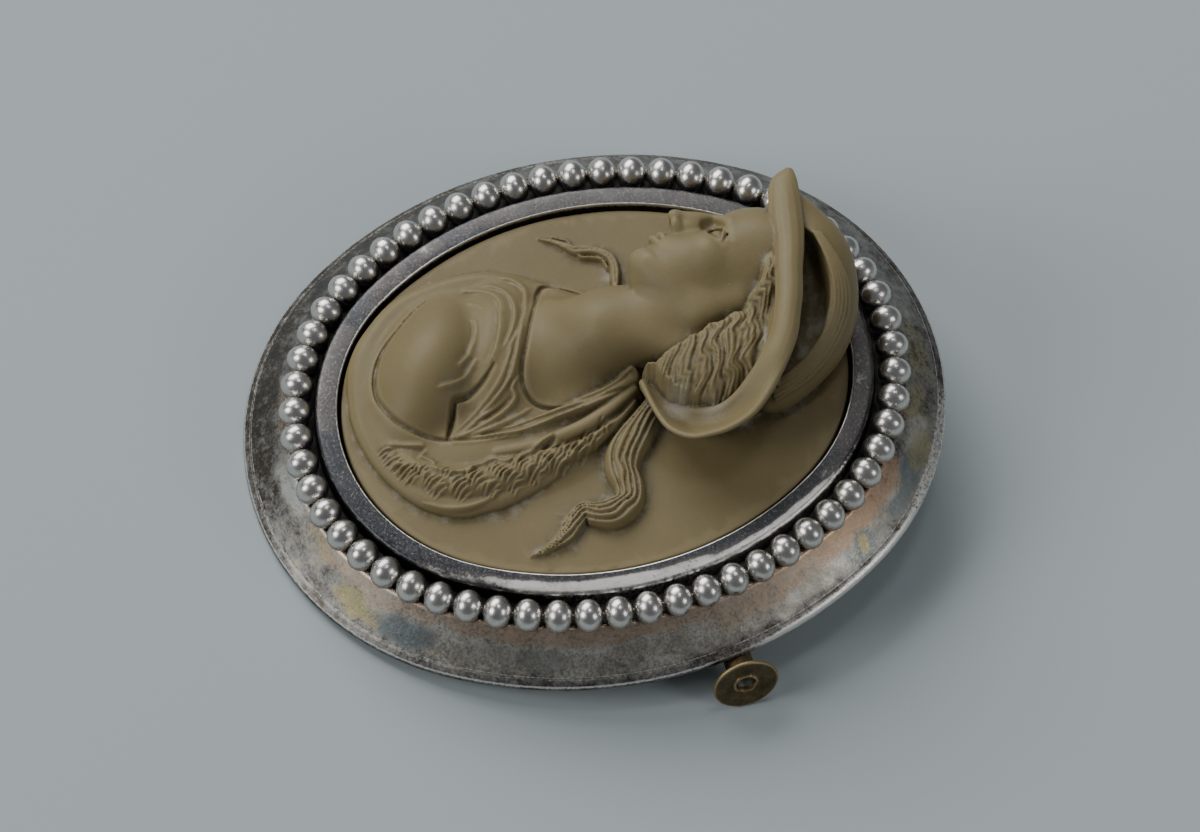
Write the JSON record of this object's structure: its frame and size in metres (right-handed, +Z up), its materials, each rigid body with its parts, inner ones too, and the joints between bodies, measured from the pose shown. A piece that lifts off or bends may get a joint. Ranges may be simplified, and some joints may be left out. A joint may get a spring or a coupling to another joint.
{
  "type": "oval cameo brooch",
  "caption": "Oval brooch: a carved lava bust in a flanged silver frame with a beaded border, and a pin with a sliding tube clasp behind.",
  "frame": {"origin": "middle of the bounding box at the surface that the brooch lies on", "axes": "+X to the portrait's right, where the clasp's disc stands out; +Y towards the portrait's crown; +Z up, out of the face, which leans back 6.7 degrees because the fittings behind it hold the crown side up"},
  "size_m": [0.0484, 0.0542, 0.0191],
  "materials": {
    "tarnished_silver": "radially brushed silver, tarnished dark in patches, with worn bright edges",
    "bright_silver": "polished silver beads with small pits, dark in the gaps",
    "lava": "satin olive-brown carved lava with pale dust in the hollows",
    "aged_brass": "aged gilt brass, brown in the hollows and rubbed on the rims"
  },
  "bodies": {
    "brooch": {"frame": "tarnished_silver", "bead_wire": "bright_silver", "cameo": "lava", "clasp_tube": "aged_brass", "pin": "aged_brass"},
    "clasp_pull": {"clasp_pull": "aged_brass"}
  },
  "joints": [
    {"name": "clasp_slide", "type": "slide", "parent": "brooch", "child": "clasp_pull", "axis": [1, 0, 0], "range_m": [0, 0.0045]}
  ]
}
